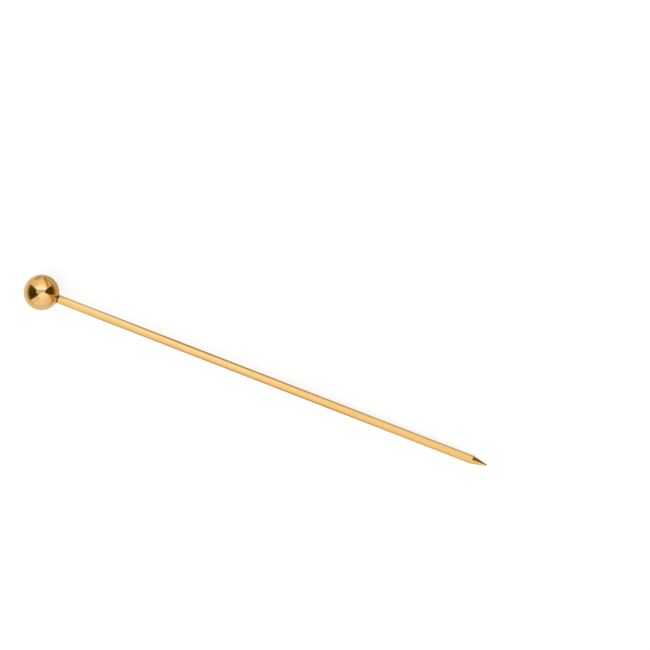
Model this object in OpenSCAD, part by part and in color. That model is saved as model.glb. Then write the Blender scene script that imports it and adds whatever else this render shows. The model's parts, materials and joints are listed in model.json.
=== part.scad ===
// Cocktail pick: a ball head on a straight wire shaft with a ground point.
// It lies at rest on its ball and on the shoulder of its point. Millimetres, Z up, point towards +X.

/* [Ball head] */
// Diameter of the ball
ball_d = 8; // [6:0.1:12]
// Diameter of the flat cut on the ball where the shaft meets it
seat_d = 2.1; // [2:0.05:3]

/* [Shaft] */
// From the back of the ball to the end of the point
overall_length = 111.4; // [80:0.1:160]
// Diameter of the wire
shaft_d = 1.9; // [1.5:0.05:2.4]
// Length of the ground point
point_length = 3.7; // [2:0.1:8]
// Radius of the blunt end of the point
tip_r = 0.15; // [0.05:0.01:0.3]
// Radius round the end of the wire, beside the ball
shoulder_edge_r = 0.2; // [0.05:0.01:0.25]

/* [Joint inside the ball] */
// Diameter of the turned spigot
spigot_d = 1.1; // [0.8:0.05:1.3]
// Length of the spigot
spigot_length = 3; // [2:0.1:4]
// Chamfer on the end of the spigot
spigot_chamfer = 0.1; // [0.05:0.01:0.2]
// Gap all round the spigot, for the braze
braze_gap = 0.02; // [0.01:0.005:0.05]
// Depth left beyond the end of the spigot
bore_run_out = 0.2; // [0.1:0.05:0.5]
// Full angle of the drill point at the bottom of the bore
drill_point_angle = 118; // [90:1:140]

/* [Hidden] */
$fn = 96;

ball_r = ball_d / 2;
seat_r = seat_d / 2;
shaft_r = shaft_d / 2;
spigot_r = spigot_d / 2;
bore_r = spigot_r + braze_gap;

// Distances along the pick's own axis, from the centre of the ball towards the point
seat_at = sqrt(ball_r * ball_r - seat_r * seat_r);
spigot_end_at = seat_at - spigot_length;
bore_end_at = spigot_end_at - bore_run_out;
drill_tip_at = bore_end_at - bore_r / tan(drill_point_angle / 2);
point_end_at = overall_length - ball_r;
point_shoulder_at = point_end_at - point_length;
tip_centre_at = point_end_at - tip_r;

// Half the angle of the cone that leaves the shoulder and meets the blunt tip without a corner
point_run = tip_centre_at - point_shoulder_at;
point_half_angle = atan2(shaft_r, point_run) - asin(tip_r / norm([shaft_r, point_run]));

// The pick leans until the shoulder of its point and its ball both touch the floor
lean = asin(ball_r / norm([shaft_r, point_shoulder_at])) - atan2(shaft_r, point_shoulder_at);
tip_reach_x = tip_centre_at * cos(lean) + tip_r;
ball_x = (ball_r - tip_reach_x) / 2;

gold = [0.9, 0.7, 0.38];

// Takes a shape built on the Z axis, with the ball's centre at zero, to where the pick lies
module lying() {
    translate([ball_x, 0, ball_r])
        rotate([0, 90 + lean, 0])
            children();
}

// The blind hole for the spigot, with the cone that a drill leaves at its bottom
module bore() {
    rotate_extrude()
        polygon([
            [0, drill_tip_at],
            [bore_r, bore_end_at],
            [bore_r, ball_r],
            [0, ball_r]
        ]);
}

// Everything beyond the flat that the shaft's shoulder seats on
module spot_face_cut() {
    translate([0, 0, seat_at])
        cylinder(r = ball_r, h = ball_r);
}

module ball_head() {
    color(gold)
        lying()
            difference() {
                sphere(r = ball_r);
                spot_face_cut();
                bore();
            }
}

// Half section of the spigot, up to the shoulder
module spigot_section() {
    polygon([
        [0, spigot_end_at],
        [spigot_r - spigot_chamfer, spigot_end_at],
        [spigot_r, spigot_end_at + spigot_chamfer],
        [spigot_r, seat_at + shoulder_edge_r],
        [0, seat_at + shoulder_edge_r]
    ]);
}

// Half section of the wire from its rounded shoulder to the cone of the point
module wire_section() {
    flat_r = shaft_r - shoulder_edge_r;
    wall_at = seat_at + shoulder_edge_r;
    polygon([
        [0, seat_at],
        [flat_r, seat_at],
        [flat_r, wall_at],
        [shaft_r, wall_at],
        [shaft_r, point_shoulder_at],
        [tip_r * cos(point_half_angle), tip_centre_at + tip_r * sin(point_half_angle)],
        [0, tip_centre_at + tip_r * sin(point_half_angle)]
    ]);
    translate([flat_r, wall_at])
        circle(r = shoulder_edge_r);
}

// Half section of the blunt end of the point
module tip_section() {
    intersection() {
        translate([0, tip_centre_at])
            circle(r = tip_r);
        translate([0, tip_centre_at])
            square([tip_r, tip_r]);
    }
}

module shaft() {
    color(gold)
        lying()
            rotate_extrude() {
                spigot_section();
                wire_section();
                tip_section();
            }
}

ball_head();
shaft();
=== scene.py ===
import json
import math

import bpy
from mathutils import Matrix, Vector


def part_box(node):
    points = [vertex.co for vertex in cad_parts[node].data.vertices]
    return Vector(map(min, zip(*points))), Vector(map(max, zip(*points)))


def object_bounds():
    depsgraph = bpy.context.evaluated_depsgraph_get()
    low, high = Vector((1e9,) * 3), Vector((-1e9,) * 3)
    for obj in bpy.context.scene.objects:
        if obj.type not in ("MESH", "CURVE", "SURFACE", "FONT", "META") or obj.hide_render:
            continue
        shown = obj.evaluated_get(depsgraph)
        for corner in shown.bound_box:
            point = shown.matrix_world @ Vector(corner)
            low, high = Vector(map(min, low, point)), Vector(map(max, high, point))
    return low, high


# A gold-coloured cocktail pick lying on a white table, seen from straight above.
# Lengths are in metres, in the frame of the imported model. Colours are linear.

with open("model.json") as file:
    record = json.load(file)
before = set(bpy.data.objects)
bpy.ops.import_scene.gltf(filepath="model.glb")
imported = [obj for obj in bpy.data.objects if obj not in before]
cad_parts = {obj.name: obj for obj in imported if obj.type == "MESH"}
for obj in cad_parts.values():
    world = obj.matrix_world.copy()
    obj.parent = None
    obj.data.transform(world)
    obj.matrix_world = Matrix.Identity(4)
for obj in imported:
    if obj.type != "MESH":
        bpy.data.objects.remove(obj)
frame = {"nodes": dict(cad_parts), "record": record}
cad_low, cad_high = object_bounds()

# The pick's own line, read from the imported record: from the ball's centre towards the point
mounts = {mount["name"]: mount for mount in frame["record"]["mounts"]}
ball_centre = Vector(mounts["ball_grip"]["pos_m"])
wall = mounts["shaft_wall"]
pick_axis = Vector(wall["axis"]).normalized()
pick_slope = pick_axis.z / pick_axis.x
wall_length = wall["dims"]["length_mm"] / 1000
wall_middle_at = (Vector(wall["pos_m"]) - ball_centre).dot(pick_axis)
wall_from = wall_middle_at - wall_length / 2
wall_to = wall_middle_at + wall_length / 2
wire_radius = wall["dims"]["r_mm"] / 1000
ball_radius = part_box("ball_head")[1].z / 2
shoulder = ball_centre + pick_axis * wall_to
tip = Vector((cad_high.x, 0, ball_centre.z + (cad_high.x - ball_centre.x) * pick_slope))

# Where the pick falls in the picture, in pixels from its top left corner
PICTURE_SIDE = 650
BALL_IN_PICTURE = Vector((41.55, 292.5))
TIP_IN_PICTURE = Vector((487.05, 465.5))
LENS_MM = 200
SENSOR_MM = 36
CLIP_START = 0.01
CLIP_END = 20

# The metal's colours
GOLD = (0.94, 0.61, 0.22)
GOLD_PALE = (0.96, 0.66, 0.27)
WIRE_GOLD = (0.95, 0.61, 0.185)
WIRE_PALE = (0.95, 0.64, 0.22)
WIRE_DEEP = (0.96, 0.56, 0.14)
# Painted shade: the dark line round the joint between ball and wire, which also dims the wire's reflection
# in the ball
PAINTED_JOINT_SHADE = (0.15, 0.075, 0.010)
WHITE = (1, 1, 1)

# The metal's marks: noise scales in waves a metre, depths in metres, and least and greatest roughness.
# A reach is the noise's values at which a mark is none and full.
NOISE_REACH = (0.3, 0.7)
BALL_CLOUD_SCALE = 420
BALL_CLOUD_REACH = (0.35, 0.65)
BALL_POLISH_SCALE = 9000
BALL_POLISH_ROUGHNESS = (0.055, 0.10)
BALL_POLISH_DEPTH = 0.0000008
BALL_WAVE_SCALE = 650
BALL_WAVE_DEPTH = 0.000012
WIRE_CLOUD_SCALE = 300
WIRE_CLOUD_SHARE = (0, 0.4)
FINE_LINE_SCALES = (30, 2600, 2600)
BROAD_LINE_SCALES = (15, 1300, 1300)
BROAD_LINE_REACH = (0.45, 0.65)
BROAD_LINE_WEIGHT = 3.0
RING_SCALES = (16000, 300, 300)
DRAWN_ROUGHNESS = (0.2, 0.3)
GROUND_ROUGHNESS = (0.10, 0.20)
WIRE_MARK_DEPTH = 0.0000012

# Where the dark line of painted shade round the joint begins and is full: on the ball in wire radii off
# the axis and in ball radii along it, and on the wire in metres past the start of its wall
LINE_OFF_AXIS = (1.75, 1.06)
LINE_ALONG_AXIS = (0.8, 0.9)
LINE_ON_WIRE = (0.00002, -0.00006)
LINE_ROUGHNESS = 0.3

# Where along the pick the wire's colour deepens, how far it does, and half the width of the point's edge
DEEPENS_ALONG = (0.02, 0.09)
DEEPENS_TO = 0.6
POINT_EDGE = 0.0001

# The table, and what it is lifted by for the camera, up to white between two distances from its middle
TABLE_REACH = 3
TABLE_GREY = 0.38
TABLE_GRAIN_SCALE = 1500
TABLE_GRAIN_DEPTH = 0.00001
CAMERA_LIFT = 0.72
CAMERA_LIFT_TO_WHITE = (0.15, 0.6)

# What the metal sees the table lifted by: down the picture, beside the wire, and round the ball. Beside
# the wire and close right of the ball the lift is painted shadow of both, and beyond the wire painted
# shade
NEAR_LIFT = (0.38, 0.38, 0.42)
WIRE_SHADOW_LIFT = (0.10, 0.10, 0.08)
UP_FROM_BALL_LIFT = (0.16, 0.12, 0.14)
BALL_SHADOW_LIFT = (0.08, 0.05, 0.0)
FARTHER_RIGHT_LIFT = (0.24, 0.17, 0.03)
LEFT_OF_BALL_LIFT = (0.28, 0.30, 0.32)
FAR_FROM_BALL_LIFT = (0.56, 0.32, 0.10)

# Where one lift passes into the next round the ball's foot: metres out from it, and degrees round it
FARTHER_RIGHT_AT = (0.009, 0.014)
UP_FROM_BALL_DEGREES = (85, 105)
LEFT_OF_BALL_DEGREES = (116, 140)

# The same across the pick's line, in metres beyond it
FAR_FROM_BALL_AT = (0.012, 0.030)
BEYOND_WIRE_AT = (-0.002, 0.010)

# The same along the pick's line in metres from the ball, and to its sides in heights of the wire
BEYOND_WIRE_ENDS_AT = (0.030, 0.015)
BESIDE_WIRE_AT = (0.008, 0.016)
BESIDE_WIRE_HEIGHTS_AWAY = (5, 2)

# The vault of softboxes over the ball. A stop is degrees from overhead, and a colour.
VAULT_RADIUS = 0.6
VAULT_HALF_WIDTH = 1.2
VAULT_STEP_DEGREES = 2
VAULT_FOOT_DEGREES = 92
UP_STOPS = [(10, (1.0, 1.07, 1.3)), (28, (1.05, 1.38, 2.2)), (38, (1.05, 1.3, 2.1)),
            (57, (0.98, 0.9, 0.85)), (80, (1.03, 0.78, 0.6)), (90, (0.92, 0.68, 0.45))]
DOWN_STOPS = [(4, (1.06, 1.2, 1.5)), (28, (1.03, 0.98, 1.2)), (47, (0.95, 0.87, 1.1)),
              (90, (0.89, 0.83, 0.9))]

# A tint is a colour, where it begins and is full in metres right of the ball, and where it begins
# and is full in degrees from overhead
ALL_DEGREES = (-2, -1)
OVERHEAD_TINT = (0.94, 0.84, 0.72)
OVERHEAD_TINT_AT = (0.10, 0.05)
UP_TINTS = [((0.88, 0.8, 0.6), (-0.06, -0.36), ALL_DEGREES),
            ((0.85, 1.05, 1.6), (0.20, 0.27), (45, 60)),
            (OVERHEAD_TINT, OVERHEAD_TINT_AT, (28, 10))]
DOWN_TINTS = [((1.0, 0.92, 0.72), (0.20, 0.45), ALL_DEGREES),
              (OVERHEAD_TINT, OVERHEAD_TINT_AT, (20, 6))]

# How far above the table cards end, and how far one card is from the next, near the ball and far from it
CARD_FOOT = 0.0003
LAYER = 0.0001
FAR_LAYER = 0.005

# The corners of a mesh that is one face with four corners
ONE_FACE = [(0, 1, 2, 3)]

# How far from the ball's centre the nearest card of each group stands, and how far below it others lie
OVERHEAD_CARD_AWAY = 0.012
DOWN_CARD_AWAY = 0.010
LEFT_CARDS_AWAY = 0.010
UP_CARDS_AWAY = 0.008
RIGHT_FOOT_AWAY = 0.035
RIGHT_STAND_AWAY = 0.22
RIGHT_FLAG_AWAY = 0.585
TABLE_CARDS_BELOW = ball_radius - CARD_FOOT

# The reflector up the picture from the wire: its distance, its ends along the wire and its height
REFLECTOR_DISTANCE = 0.060
REFLECTOR_FROM_BALL = (0.002, 0.019)
REFLECTOR_HEIGHT = 0.045
REFLECTOR_COLOUR = (0.8, 1.1, 2.1)

# The shade bent round the point. A reach is degrees round from the way the pick points, towards the
# top of the picture, and the degrees above level of the shade's lower and upper edge.
SHADE_DISTANCE = 0.012
SHADE_COLOUR = (0.17, 0.135, 0.04)
SHADE_REACHES = [(-4, 46, 66), (12, 42, 70), (25, 38, 70), (45, 24, 60), (58, 4, 46), (66, -10, 32),
                 (74, -16, 18)]

# The shade's foot on the table: its near corners past the shoulder and the tip, and beside the pick, and
# how far past both its far corners lie
SHADE_FOOT_BY_SHOULDER = (0.0004, 0.0003)
SHADE_FOOT_BY_TIP = (0.0010, 0.0001)
SHADE_FOOT_FAR_BY_SHOULDER = 0.0018
SHADE_FOOT_FAR_BY_TIP = 0.0060

# The light. The lamp's way from the pick is right in the picture, up the picture and up.
LAMP_LEVEL = 0.35
WORLD_LEVEL = 0.65
LAMP_DISTANCE = 0.9
LAMP_SIZE = 0.9
LAMP_FROM = (-0.45, -0.45, 0.77)


def new_material(name):
    """An empty node material with its output."""
    material = bpy.data.materials.new(name)
    material.use_nodes = True
    tree = material.node_tree
    tree.nodes.clear()
    output = tree.nodes.new("ShaderNodeOutputMaterial")
    return material, tree, output


def put(tree, value, socket):
    """Joins a node's output to a socket, or sets the socket to a plain value."""
    if isinstance(value, bpy.types.NodeSocket):
        tree.links.new(value, socket)
    elif isinstance(value, (tuple, list)) and socket.type == "RGBA":
        socket.default_value = (*value[:3], 1)
    else:
        socket.default_value = value


def math_node(tree, operation, first, second=0.0):
    node = tree.nodes.new("ShaderNodeMath")
    node.operation = operation
    put(tree, first, node.inputs[0])
    put(tree, second, node.inputs[1])
    return node.outputs[0]


def distance_node(tree, first, second):
    """How far a point lies from zero, from its two parts."""
    squares = math_node(tree, "ADD", math_node(tree, "MULTIPLY", first, first),
                        math_node(tree, "MULTIPLY", second, second))
    return math_node(tree, "SQRT", squares)


def smooth_step(tree, value, low, high, to_low=0.0, to_high=1.0):
    """Goes smoothly from to_low at low to to_high at high."""
    node = tree.nodes.new("ShaderNodeMapRange")
    node.interpolation_type = "SMOOTHSTEP"
    put(tree, value, node.inputs["Value"])
    node.inputs["From Min"].default_value = low
    node.inputs["From Max"].default_value = high
    node.inputs["To Min"].default_value = to_low
    node.inputs["To Max"].default_value = to_high
    return node.outputs["Result"]


def angle_step(tree, angle, low_degrees, high_degrees):
    """Goes smoothly from none at the first angle to full at the second."""
    return smooth_step(tree, angle, math.radians(low_degrees), math.radians(high_degrees))


def mix_colour(tree, share, first, second, blend="MIX"):
    node = tree.nodes.new("ShaderNodeMix")
    node.data_type = "RGBA"
    node.blend_type = blend
    put(tree, share, node.inputs["Factor"])
    put(tree, first, node.inputs["A"])
    put(tree, second, node.inputs["B"])
    return node.outputs["Result"]


def mix_number(tree, share, first, second):
    node = tree.nodes.new("ShaderNodeMix")
    put(tree, share, node.inputs["Factor"])
    put(tree, first, node.inputs["A"])
    put(tree, second, node.inputs["B"])
    return node.outputs["Result"]


def noise(tree, vector, scale, detail, roughness=0.5):
    node = tree.nodes.new("ShaderNodeTexNoise")
    put(tree, vector, node.inputs["Vector"])
    node.inputs["Scale"].default_value = scale
    node.inputs["Detail"].default_value = detail
    node.inputs["Roughness"].default_value = roughness
    return node.outputs["Fac"]


def stretched_noise(tree, vector, scales, detail, roughness=0.5):
    """Noise with its own scale along each axis."""
    node = tree.nodes.new("ShaderNodeVectorMath")
    node.operation = "MULTIPLY"
    put(tree, vector, node.inputs[0])
    node.inputs[1].default_value = scales
    return noise(tree, node.outputs["Vector"], 1, detail, roughness)


def bump(tree, height, depth, normal=None):
    """Normal of a surface with this relief, over that of a coarser relief if one is given."""
    node = tree.nodes.new("ShaderNodeBump")
    node.inputs["Strength"].default_value = 1.0
    node.inputs["Distance"].default_value = depth
    put(tree, height, node.inputs["Height"])
    if normal is not None:
        put(tree, normal, node.inputs["Normal"])
    return node.outputs["Normal"]


def parts_of(tree, place):
    """X, Y and Z of a position."""
    parts = tree.nodes.new("ShaderNodeSeparateXYZ")
    put(tree, place, parts.inputs[0])
    return parts.outputs["X"], parts.outputs["Y"], parts.outputs["Z"]


def own_position(tree):
    """Position in the object's own frame."""
    return tree.nodes.new("ShaderNodeTexCoord").outputs["Object"]


def along_pick(tree):
    """Position in the pick's own frame: X runs from the ball's centre towards the point."""
    turn = tree.nodes.new("ShaderNodeMapping")
    turn.vector_type = "TEXTURE"
    turn.inputs["Location"].default_value = ball_centre
    turn.inputs["Rotation"].default_value = (0, math.asin(-pick_axis.z), 0)
    put(tree, own_position(tree), turn.inputs["Vector"])
    return turn.outputs["Vector"]


def gold_shader(tree, output, colour, roughness, normal):
    shader = tree.nodes.new("ShaderNodeBsdfPrincipled")
    shader.inputs["Metallic"].default_value = 1.0
    put(tree, colour, shader.inputs["Base Color"])
    put(tree, roughness, shader.inputs["Roughness"])
    put(tree, normal, shader.inputs["Normal"])
    put(tree, shader.outputs["BSDF"], output.inputs["Surface"])


def with_line_roughness(tree, roughness, line):
    """The polish, made rougher where the dark line of painted shade is."""
    return math_node(tree, "ADD", roughness, math_node(tree, "MULTIPLY", line, LINE_ROUGHNESS))


def painted_shade_round_joint(tree, place):
    """How strong the painted shade round the joint is on the ball: full beside the wire, and on the
    joint's side only.
    """
    x, y, z = parts_of(tree, place)
    outer, inner = (wire_radius * radii for radii in LINE_OFF_AXIS)
    begins, full = (ball_radius * radii for radii in LINE_ALONG_AXIS)
    near_joint = smooth_step(tree, distance_node(tree, y, z), outer, inner)
    return math_node(tree, "MULTIPLY", near_joint, smooth_step(tree, x, begins, full))


def gold_ball():
    """Bright plated ball: faint tumbling marks, slightly uneven polish and painted shade round the joint.
    """
    material, tree, output = new_material("gold_plated_ball")
    place = along_pick(tree)
    cloud = noise(tree, place, BALL_CLOUD_SCALE, detail=3)
    fine = noise(tree, place, BALL_POLISH_SCALE, detail=4, roughness=0.7)
    line = painted_shade_round_joint(tree, place)
    tone = mix_colour(tree, smooth_step(tree, cloud, *BALL_CLOUD_REACH), GOLD, GOLD_PALE)
    # Painted shade darkens the ball round the joint
    colour = mix_colour(tree, line, tone, PAINTED_JOINT_SHADE)
    polish = smooth_step(tree, fine, *NOISE_REACH, *BALL_POLISH_ROUGHNESS)
    waves = bump(tree, noise(tree, place, BALL_WAVE_SCALE, detail=1), BALL_WAVE_DEPTH)
    marks = bump(tree, fine, BALL_POLISH_DEPTH, waves)
    gold_shader(tree, output, colour, with_line_roughness(tree, polish, line), marks)
    return material


def gold_wire():
    """Plated drawn wire: lines drawn along it, rings ground round its point, and painted shade at the
    ball.
    """
    material, tree, output = new_material("gold_plated_wire")
    place = along_pick(tree)
    along = parts_of(tree, place)[0]
    cloud = noise(tree, place, WIRE_CLOUD_SCALE, detail=3)
    fine_lines = stretched_noise(tree, place, FINE_LINE_SCALES, detail=1)
    broad_lines = stretched_noise(tree, place, BROAD_LINE_SCALES, detail=1)
    rings = stretched_noise(tree, place, RING_SCALES, detail=3, roughness=0.6)
    on_point = smooth_step(tree, along, wall_to - POINT_EDGE, wall_to + POINT_EDGE)
    # Painted shade at the wire's start, in the crease against the ball
    line = smooth_step(tree, along, *(wall_from + past for past in LINE_ON_WIRE))
    tone = mix_colour(tree, smooth_step(tree, along, *DEEPENS_ALONG, 0, DEEPENS_TO), WIRE_GOLD, WIRE_DEEP)
    clouded = mix_colour(tree, smooth_step(tree, cloud, *NOISE_REACH, *WIRE_CLOUD_SHARE), tone, WIRE_DEEP)
    streaked = mix_colour(tree, smooth_step(tree, broad_lines, *BROAD_LINE_REACH), clouded, WIRE_PALE)
    colour = mix_colour(tree, line, streaked, PAINTED_JOINT_SHADE)
    drawn = smooth_step(tree, fine_lines, *NOISE_REACH, *DRAWN_ROUGHNESS)
    ground = smooth_step(tree, rings, *NOISE_REACH, *GROUND_ROUGHNESS)
    roughness = with_line_roughness(tree, mix_number(tree, on_point, drawn, ground), line)
    lines = math_node(tree, "ADD", fine_lines, math_node(tree, "MULTIPLY", broad_lines, BROAD_LINE_WEIGHT))
    normal = bump(tree, mix_number(tree, on_point, lines, rings), WIRE_MARK_DEPTH)
    gold_shader(tree, output, colour, roughness, normal)
    return material


def seen_directly(tree):
    """One for rays that show a surface as it is: from the camera, and in metal or glass."""
    rays = tree.nodes.new("ShaderNodeLightPath")
    metal = math_node(tree, "MAXIMUM", rays.outputs["Is Glossy Ray"], rays.outputs["Is Transmission Ray"])
    return math_node(tree, "MAXIMUM", rays.outputs["Is Camera Ray"], metal)


def emission(tree, output, colour):
    glow = tree.nodes.new("ShaderNodeEmission")
    put(tree, colour, glow.inputs["Color"])
    put(tree, glow.outputs["Emission"], output.inputs["Surface"])


def table_round_ball(tree, from_ball, y):
    """What the metal sees the table lifted by beyond the wire, as painted shade: right, up and left of the
    ball, with the ball's painted shadow close on its right.
    """
    from_foot = distance_node(tree, from_ball, y)
    turn = math_node(tree, "ARCTAN2", y, from_ball)
    # Painted shadow of the ball on the table, close on its right
    farther_right = smooth_step(tree, from_foot, *FARTHER_RIGHT_AT)
    lift = mix_colour(tree, farther_right, BALL_SHADOW_LIFT, FARTHER_RIGHT_LIFT)
    lift = mix_colour(tree, angle_step(tree, turn, *UP_FROM_BALL_DEGREES), lift, UP_FROM_BALL_LIFT)
    lift = mix_colour(tree, angle_step(tree, turn, *LEFT_OF_BALL_DEGREES), lift, LEFT_OF_BALL_LIFT)
    return mix_colour(tree, smooth_step(tree, y, *FAR_FROM_BALL_AT), lift, FAR_FROM_BALL_LIFT)


def table_in_metal(tree, x, y):
    """What the metal sees the table lifted by: a painted shadow close beside the wire, and painted shade
    beyond it by the ball.
    """
    from_ball = math_node(tree, "SUBTRACT", x, ball_centre.x)
    drop = math_node(tree, "MULTIPLY", from_ball, -pick_slope)
    wire_height = math_node(tree, "SUBTRACT", ball_centre.z, drop)
    heights_away = math_node(tree, "DIVIDE", math_node(tree, "ABSOLUTE", y), wire_height)
    beyond = math_node(tree, "MULTIPLY", smooth_step(tree, y, *BEYOND_WIRE_AT),
                       smooth_step(tree, from_ball, *BEYOND_WIRE_ENDS_AT))
    lift = mix_colour(tree, beyond, NEAR_LIFT, table_round_ball(tree, from_ball, y))
    # Painted shadow of the wire on the table, close beside it
    beside_wire = math_node(tree, "MULTIPLY", smooth_step(tree, heights_away, *BESIDE_WIRE_HEIGHTS_AWAY),
                            smooth_step(tree, from_ball, *BESIDE_WIRE_AT))
    return mix_colour(tree, beside_wire, lift, WIRE_SHADOW_LIFT)


def white_table():
    """Grey table that is lifted to white where the camera sees it, and less, with painted shadows and
    shade, where the metal sees it.
    """
    material, tree, output = new_material("white_table")
    place = own_position(tree)
    x, y, _ = parts_of(tree, place)
    diffuse = tree.nodes.new("ShaderNodeBsdfDiffuse")
    put(tree, (TABLE_GREY,) * 3, diffuse.inputs["Color"])
    grain = noise(tree, place, TABLE_GRAIN_SCALE, detail=3)
    put(tree, bump(tree, grain, TABLE_GRAIN_DEPTH), diffuse.inputs["Normal"])
    to_white = smooth_step(tree, distance_node(tree, x, y), *CAMERA_LIFT_TO_WHITE)
    in_camera = mix_colour(tree, to_white, (CAMERA_LIFT,) * 3, WHITE)
    rays = tree.nodes.new("ShaderNodeLightPath")
    lift = mix_colour(tree, rays.outputs["Is Camera Ray"], table_in_metal(tree, x, y), in_camera)
    glow = tree.nodes.new("ShaderNodeEmission")
    put(tree, lift, glow.inputs["Color"])
    put(tree, seen_directly(tree), glow.inputs["Strength"])
    both = tree.nodes.new("ShaderNodeAddShader")
    put(tree, diffuse.outputs["BSDF"], both.inputs[0])
    put(tree, glow.outputs["Emission"], both.inputs[1])
    put(tree, both.outputs["Shader"], output.inputs["Surface"])
    return material


def softbox_cloth(name, stops, tints):
    """Lit cloth whose colour changes with the angle from overhead, and with its tints."""
    material, tree, output = new_material(name)
    x, y, z = parts_of(tree, own_position(tree))
    angle = math_node(tree, "ARCTAN2", math_node(tree, "ABSOLUTE", y), z)
    ramp = tree.nodes.new("ShaderNodeValToRGB")
    elements = ramp.color_ramp.elements
    while len(elements) < len(stops):
        elements.new(1.0)
    for element, (degrees, colour) in zip(elements, stops):
        element.position = degrees / 90
        element.color = (*colour, 1)
    put(tree, math_node(tree, "DIVIDE", angle, math.pi / 2), ramp.inputs["Fac"])
    cloth = ramp.outputs["Color"]
    for tint, right_of_ball, from_overhead in tints:
        share = math_node(tree, "MULTIPLY", smooth_step(tree, x, *right_of_ball),
                          angle_step(tree, angle, *from_overhead))
        cloth = mix_colour(tree, share, cloth, tint, "MULTIPLY")
    emission(tree, output, cloth)
    return material


def plain_card(name, colour):
    """Card that is seen as this colour, whatever lights it."""
    material, tree, output = new_material(name)
    emission(tree, output, colour)
    return material


def stage_mesh(name, points, faces, material, matrix=Matrix.Identity(4)):
    """A piece of the surroundings, which is no part of the object."""
    mesh = bpy.data.meshes.new(name)
    mesh.from_pydata([tuple(point) for point in points], [], faces)
    mesh.materials.append(material)
    thing = bpy.data.objects.new(name, mesh)
    thing.matrix_world = matrix
    bpy.context.scene.collection.objects.link(thing)
    return thing


def only_in_metal(thing):
    """Leaves a card to the metal: the camera and the table don't see it, and it casts no shadow."""
    thing.visible_camera = False
    thing.visible_diffuse = False
    thing.visible_shadow = False


def camera_height_and_roll(ball_off, tip_off, focal):
    """Height and turn at which both ends of the pick fall where they should, in pixels off the middle."""
    spread = tip_off - ball_off
    lift = tip_off * tip.z - ball_off * ball_centre.z
    reach = focal * (tip.x - ball_centre.x)
    cross = spread.dot(lift)
    root = math.sqrt(cross ** 2 - spread.length_squared * (lift.length_squared - reach ** 2))
    height = (cross + root) / spread.length_squared
    seen = spread * height - lift
    return height, -math.atan2(seen.y, seen.x)


def place_camera():
    """Looks straight down, and turns, moves and rises until the pick falls where the picture has it."""
    focal = LENS_MM / SENSOR_MM * PICTURE_SIDE
    middle = Vector((PICTURE_SIDE / 2, PICTURE_SIDE / 2))
    ball_off = BALL_IN_PICTURE - middle
    tip_off = TIP_IN_PICTURE - middle
    ball_off.y *= -1
    tip_off.y *= -1
    height, roll = camera_height_and_roll(ball_off, tip_off, focal)
    ball_seen = ball_off * (height - ball_centre.z) / focal
    right = Vector((math.cos(roll), math.sin(roll)))
    up = Vector((-math.sin(roll), math.cos(roll)))
    spot = ball_centre.xy - right * ball_seen.x - up * ball_seen.y
    camera = bpy.data.objects.new("camera", bpy.data.cameras.new("camera"))
    camera.data.lens = LENS_MM
    camera.data.sensor_width = SENSOR_MM
    camera.data.clip_start = CLIP_START
    camera.data.clip_end = CLIP_END
    camera.location = (spot.x, spot.y, height)
    camera.rotation_euler = (0, 0, roll)
    bpy.context.scene.collection.objects.link(camera)
    bpy.context.scene.camera = camera
    return roll, camera.location


# The rig stands at the ball's centre. X is right in the picture, Y is up the picture and Z is up.
# The eye is the way to the lens, and the others are the sides that cards stand on.
picture_roll, lens_place = place_camera()
rig = Matrix.Translation(ball_centre) @ Matrix.Rotation(picture_roll, 4, "Z")
eye = (rig.inverted() @ lens_place).normalized()
TO_THE_RIGHT = Vector((1, 0, 0))
TO_THE_LEFT = Vector((-1, 0, 0))
UP_THE_PICTURE = Vector((0, 1, 0))
DOWN_THE_PICTURE = Vector((0, -1, 0))
OVERHEAD = Vector((0, 0, 1))
ON_THE_TABLE = Vector((0, 0, -1))
RIGHT_AND_ABOVE = Vector((0.6, 0, 0.8))
RIGHT_AND_UP = Vector((0.96, 0.28, 0))
ALONG_THE_WIRE = Vector((math.cos(picture_roll), -math.sin(picture_roll), 0))


def vault(name, way, material):
    """Half a barrel vault over the ball, up the picture (way 1) or down it (way -1)."""
    count = round(VAULT_FOOT_DEGREES / VAULT_STEP_DEGREES) + 1
    points, faces = [], []
    for step in range(count):
        angle = math.radians(step * VAULT_STEP_DEGREES)
        for side in (-1, 1):
            points.append((side * VAULT_HALF_WIDTH, way * VAULT_RADIUS * math.sin(angle),
                           VAULT_RADIUS * math.cos(angle)))
    for step in range(count - 1):
        first = 2 * step
        faces.append((first, first + 1, first + 3, first + 2))
    only_in_metal(stage_mesh(name, points, faces, material, rig))


def seen_in_ball(place, side, distance):
    """The point of a flat card that shows at this place on the ball.

    The place is given in ball radii, right and up from the ball's centre in the picture.
    The card faces the ball from this side at this distance, and ends just above the table."""
    across = (TO_THE_RIGHT - eye * eye.x).normalized()
    rise = eye.cross(across)
    outwards = math.sqrt(1 - place[0] ** 2 - place[1] ** 2)
    normal = across * place[0] + rise * place[1] + eye * outwards
    ray = normal * 2 * normal.dot(eye) - eye
    start = normal * ball_radius
    point = start + ray * (distance - start.dot(side)) / ray.dot(side)
    point.z = max(point.z, CARD_FOOT - ball_radius)
    return point


def ball_card(name, colour, side, distance, places):
    """Flat card whose corners show at these places on the ball."""
    points = [seen_in_ball(place, side, distance) for place in places]
    only_in_metal(stage_mesh(name, points, [tuple(range(len(points)))], plain_card(name, colour), rig))


def ring_card(name, colour, side, distance, spokes):
    """Card that shows as part of a ring on the ball.

    A spoke is degrees round from the right, and how far out its two ends are in ball radii."""
    inner, outer = [], []
    for degrees, near, far in spokes:
        turn = math.radians(degrees)
        inner.append((near * math.cos(turn), near * math.sin(turn)))
        outer.append((far * math.cos(turn), far * math.sin(turn)))
    ball_card(name, colour, side, distance, inner + outer[::-1])


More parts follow.
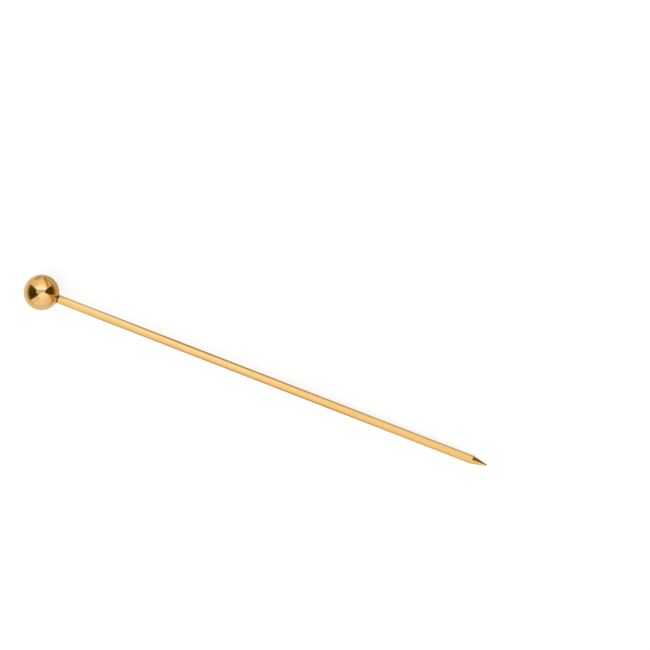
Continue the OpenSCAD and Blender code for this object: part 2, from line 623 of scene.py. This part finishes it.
def cards_above():
    """The gap between the softboxes, and a seam in the lower one."""
    ball_card("gap_between_softboxes", (0.66, 0.66, 0.70), OVERHEAD, OVERHEAD_CARD_AWAY,
              [(-0.25, 0.13), (0.05, 0.13), (0.18, 0.15), (0.18, 0.0), (0.04, 0.02), (-0.16, -0.10),
               (-0.28, 0.0)])
    ball_card("seam_down_the_picture", (0.76, 0.66, 0.48), DOWN_THE_PICTURE, DOWN_CARD_AWAY,
              [(-0.12, -0.22), (-0.2, -0.25), (-0.3, -0.37), (-0.4, -0.49), (-0.34, -0.53),
               (-0.22, -0.40)])


def cards_at_the_left():
    """The black flag at the left with its paler edge and tip, and painted shade on the table at its foot.
    """
    ball_card("left_flag_edge", (0.14, 0.09, 0.012), TO_THE_LEFT, LEFT_CARDS_AWAY + 2 * LAYER,
              [(-0.29, 0.0), (-0.255, 0.125), (-0.385, 0.28), (-0.57, 0.45), (-0.66, 0.32),
               (-0.715, 0.15), (-0.73, 0.0), (-0.715, -0.18), (-0.65, -0.36), (-0.57, -0.415),
               (-0.37, -0.285), (-0.17, -0.11)])
    ball_card("left_flag_tip", (0.62, 0.50, 0.34), TO_THE_LEFT, LEFT_CARDS_AWAY + 3 * LAYER,
              [(-0.15, -0.06), (-0.15, -0.15), (-0.24, -0.23), (-0.37, -0.33), (-0.37, -0.25),
               (-0.25, -0.10)])
    ball_card("left_flag_up", (0.05, 0.052, 0.004), TO_THE_LEFT, LEFT_CARDS_AWAY + LAYER,
              [(-0.32, 0.05), (-0.31, 0.10), (-0.43, 0.24), (-0.54, 0.31), (-0.62, 0.24),
               (-0.665, 0.12), (-0.67, 0.05)])
    ball_card("left_flag_down", (0.052, 0.03, 0.008), TO_THE_LEFT, LEFT_CARDS_AWAY + LAYER,
              [(-0.33, 0.05), (-0.67, 0.05), (-0.68, -0.06), (-0.66, -0.18), (-0.56, -0.32),
               (-0.40, -0.22), (-0.26, -0.11), (-0.33, -0.03)])
    # Painted shade of the flag on the table, darker near the flag and paler towards the ball
    ring_card("left_foot", (0.33, 0.22, 0.08), TO_THE_LEFT, LEFT_CARDS_AWAY,
              [(143, 0.72, 0.76), (155, 0.725, 0.765), (180, 0.73, 0.765), (205, 0.725, 0.765),
               (215, 0.72, 0.76)])
    ring_card("left_foot_outer", (0.55, 0.46, 0.30), TO_THE_LEFT, LEFT_CARDS_AWAY,
              [(143, 0.76, 0.83), (155, 0.765, 0.83), (180, 0.765, 0.83), (205, 0.765, 0.83),
               (215, 0.76, 0.83), (225, 0.72, 0.80), (232, 0.72, 0.78)])


def flag_at_the_right():
    """The black flag at the right with its paler edge and tip, and painted shade on the table at its foot.
    """
    ball_card("right_flag_tip", (0.31, 0.25, 0.11), RIGHT_AND_ABOVE, RIGHT_FLAG_AWAY,
              [(0.14, 0.0), (0.16, 0.13), (0.21, 0.175), (0.225, 0.13), (0.24, 0.0), (0.25, -0.07)])
    ball_card("right_flag_edge", (0.17, 0.105, 0.015), RIGHT_AND_ABOVE, RIGHT_FLAG_AWAY + 3 * FAR_LAYER,
              [(0.20, 0.0), (0.22, 0.13), (0.345, 0.265), (0.57, 0.45), (0.63, 0.33), (0.67, 0.18),
               (0.68, 0.0), (0.67, -0.14), (0.5, -0.155), (0.40, -0.115), (0.295, -0.085)])
    ball_card("right_flag", (0.060, 0.043, 0.004), RIGHT_AND_ABOVE, RIGHT_FLAG_AWAY + FAR_LAYER,
              [(0.235, 0.02), (0.25, 0.10), (0.38, 0.24), (0.53, 0.35), (0.61, 0.25), (0.65, 0.1),
               (0.65, -0.08), (0.45, -0.08), (0.33, -0.04)])
    # Painted shade of the flag on the table, in three bands from darker near the flag to paler towards the
    # ball
    ring_card("right_foot", (0.17, 0.10, 0.01), ALONG_THE_WIRE, RIGHT_FOOT_AWAY,
              [(-11, 0.66, 0.72), (0, 0.67, 0.72), (15, 0.67, 0.715), (30, 0.66, 0.715),
               (38, 0.64, 0.71)])
    ring_card("right_foot_middle", (0.31, 0.20, 0.035), ON_THE_TABLE, TABLE_CARDS_BELOW,
              [(-11, 0.713, 0.755), (0, 0.713, 0.755), (15, 0.715, 0.755), (30, 0.715, 0.775),
               (37, 0.71, 0.785)])
    ring_card("right_foot_outer", (0.46, 0.36, 0.17), ON_THE_TABLE, TABLE_CARDS_BELOW,
              [(-11, 0.755, 0.80), (0, 0.755, 0.84), (15, 0.755, 0.80), (25, 0.768, 0.79)])


def stand_at_the_right():
    """The brown stand down to the right with its paler side, and painted shade on the table at its foot.
    """
    ball_card("right_stand_side", (0.90, 0.68, 0.48), TO_THE_RIGHT, RIGHT_STAND_AWAY + FAR_LAYER,
              [(0.33, -0.13), (0.48, -0.13), (0.54, -0.29), (0.60, -0.47), (0.48, -0.50),
               (0.40, -0.34)])
    ball_card("right_stand", (0.56, 0.34, 0.15), TO_THE_RIGHT, RIGHT_STAND_AWAY,
              [(0.42, -0.13), (0.66, -0.13), (0.69, -0.24), (0.62, -0.40), (0.57, -0.48),
               (0.49, -0.29)])
    # Painted shade on the table at the stand's foot
    ball_card("right_stand_foot", (0.48, 0.30, 0.12), ON_THE_TABLE, TABLE_CARDS_BELOW,
              [(0.69, -0.16), (0.65, -0.29), (0.575, -0.41), (0.56, -0.60), (0.66, -0.56),
               (0.71, -0.40), (0.75, -0.27), (0.76, -0.16)])


def cards_up_and_right():
    """The arc of painted shade on the table up to the right, the lamp stand before it and the warm box
    behind.
    """
    # Painted shade on the table up to the right, seen as an arc round the ball
    ring_card("arc_near", (0.50, 0.33, 0.10), RIGHT_AND_UP, UP_CARDS_AWAY,
              [(37, 0.71, 0.79), (45, 0.72, 0.80), (57, 0.73, 0.80), (68, 0.735, 0.80)])
    ring_card("arc_far", (0.40, 0.26, 0.08), ON_THE_TABLE, TABLE_CARDS_BELOW,
              [(68, 0.735, 0.82), (75, 0.74, 0.87), (83, 0.76, 0.86)])
    ball_card("warm_box", (0.70, 0.52, 0.30), RIGHT_AND_UP, UP_CARDS_AWAY + 3 * LAYER,
              [(0.33, 0.29), (0.30, 0.48), (0.26, 0.62), (0.23, 0.70), (0.35, 0.67), (0.46, 0.60),
               (0.56, 0.48), (0.58, 0.42)])
    ball_card("lamp_stand_side", (0.98, 0.82, 0.78), RIGHT_AND_UP, UP_CARDS_AWAY + 2 * LAYER,
              [(0.10, 0.64), (0.17, 0.48), (0.19, 0.36), (0.24, 0.23), (0.31, 0.23), (0.37, 0.30),
               (0.30, 0.36), (0.25, 0.50), (0.18, 0.62)])
    ball_card("lamp_stand", (0.56, 0.34, 0.13), RIGHT_AND_UP, UP_CARDS_AWAY + LAYER,
              [(0.13, 0.70), (0.18, 0.60), (0.25, 0.48), (0.28, 0.30), (0.37, 0.32), (0.37, 0.45),
               (0.33, 0.60), (0.29, 0.70)])


def cards_up_and_left():
    """The brown box up the table, and the pale box to its left with its warmer side."""
    ball_card("box_up_the_table", (0.42, 0.29, 0.12), UP_THE_PICTURE, UP_CARDS_AWAY,
              [(-0.36, 0.70), (-0.22, 0.745), (-0.10, 0.79), (-0.06, 0.84), (-0.15, 0.86),
               (-0.27, 0.81), (-0.35, 0.76)])
    ring_card("pale_box", (0.75, 0.70, 0.57), UP_THE_PICTURE, UP_CARDS_AWAY + LAYER,
              [(127, 0.62, 0.78), (135, 0.60, 0.78), (142, 0.64, 0.76)])
    ring_card("pale_box_side", (0.87, 0.71, 0.60), UP_THE_PICTURE, UP_CARDS_AWAY + LAYER,
              [(113, 0.66, 0.78), (120, 0.63, 0.79), (127, 0.62, 0.78)])


def reflector_beside_wire():
    """Pale reflector up the picture, which brightens the upper side of the wire beside the ball."""
    near, far = (ball_centre.x + along for along in REFLECTOR_FROM_BALL)
    points = [(near, REFLECTOR_DISTANCE, LAYER), (far, REFLECTOR_DISTANCE, LAYER),
              (far, REFLECTOR_DISTANCE, REFLECTOR_HEIGHT), (near, REFLECTOR_DISTANCE, REFLECTOR_HEIGHT)]
    cloth = plain_card("reflector_cloth", REFLECTOR_COLOUR)
    only_in_metal(stage_mesh("reflector_beside_wire", points, ONE_FACE, cloth))


def way_from_point(degrees_round, degrees_above):
    """Direction from the point of the pick, given round from the way it points and above level."""
    turn = math.radians(degrees_round)
    above = math.radians(degrees_above)
    return Vector((math.cos(turn) * math.cos(above), math.sin(turn) * math.cos(above), math.sin(above)))


def point_shade():
    """Brown card bent round the point, which darkens the upper side of its cone, and its foot."""
    shade = plain_card("point_shade", SHADE_COLOUR)
    middle = (tip + shoulder) / 2
    points, faces = [], []
    for degrees_round, low, high in SHADE_REACHES:
        for above in (low, high):
            point = middle + way_from_point(degrees_round, above) * SHADE_DISTANCE
            point.z = max(point.z, CARD_FOOT)
            points.append(point)
    for step in range(len(SHADE_REACHES) - 1):
        first = 2 * step
        faces.append((first, first + 2, first + 3, first + 1))
    only_in_metal(stage_mesh("point_shade", points, faces, shade))
    past_shoulder, beside_shoulder = SHADE_FOOT_BY_SHOULDER
    past_tip, beside_tip = SHADE_FOOT_BY_TIP
    foot = [(shoulder.x + past_shoulder, beside_shoulder, LAYER),
            (tip.x + past_tip, beside_tip, LAYER),
            (tip.x + SHADE_FOOT_FAR_BY_TIP, SHADE_DISTANCE, LAYER),
            (shoulder.x + SHADE_FOOT_FAR_BY_SHOULDER, SHADE_DISTANCE, LAYER)]
    only_in_metal(stage_mesh("point_shade_foot", foot, ONE_FACE, shade))


def set_up_stage():
    """Table, softboxes up and down the picture, and cards that the metal mirrors."""
    corners = [(-1, -1), (1, -1), (1, 1), (-1, 1)]
    square = [(TABLE_REACH * x, TABLE_REACH * y, 0) for x, y in corners]
    stage_mesh("table", square, ONE_FACE, white_table())
    vault("softbox_up", 1, softbox_cloth("softbox_up_cloth", UP_STOPS, UP_TINTS))
    vault("softbox_down", -1, softbox_cloth("softbox_down_cloth", DOWN_STOPS, DOWN_TINTS))
    cards_above()
    cards_at_the_left()
    flag_at_the_right()
    stand_at_the_right()
    cards_up_and_right()
    cards_up_and_left()
    reflector_beside_wire()
    point_shade()


def light_world():
    """Surroundings that are white where they are seen, and light the table at a lower level."""
    world = bpy.data.worlds.new("studio")
    bpy.context.scene.world = world
    world.use_nodes = True
    tree = world.node_tree
    tree.nodes.clear()
    output = tree.nodes.new("ShaderNodeOutputWorld")
    surroundings = tree.nodes.new("ShaderNodeBackground")
    level = smooth_step(tree, seen_directly(tree), 0, 1, WORLD_LEVEL, 1.0)
    put(tree, WHITE, surroundings.inputs["Color"])
    put(tree, level, surroundings.inputs["Strength"])
    put(tree, surroundings.outputs["Background"], output.inputs["Surface"])


def add_lamp():
    """One large soft lamp from the lower left of the picture, for a gentle shadow."""
    towards = (Matrix.Rotation(picture_roll, 3, "Z") @ Vector(LAMP_FROM)).normalized()
    lamp_data = bpy.data.lights.new("soft_lamp", "AREA")
    lamp_data.shape = "SQUARE"
    lamp_data.size = LAMP_SIZE
    lamp_data.energy = LAMP_LEVEL * (math.pi * LAMP_DISTANCE) ** 2 / towards.z
    lamp = bpy.data.objects.new("soft_lamp", lamp_data)
    lamp.location = towards * LAMP_DISTANCE
    lamp.rotation_euler = towards.to_track_quat("Z", "Y").to_euler()
    lamp.visible_glossy = False
    lamp.visible_camera = False
    bpy.context.scene.collection.objects.link(lamp)


def dress(node, material):
    """Gives a CAD node its finished material."""
    mesh = frame["nodes"][node].data
    for index in range(len(mesh.materials)):
        mesh.materials[index] = material


bpy.context.scene.view_settings.view_transform = "Standard"
dress("ball_head", gold_ball())
dress("shaft", gold_wire())
set_up_stage()
light_world()
add_lamp()
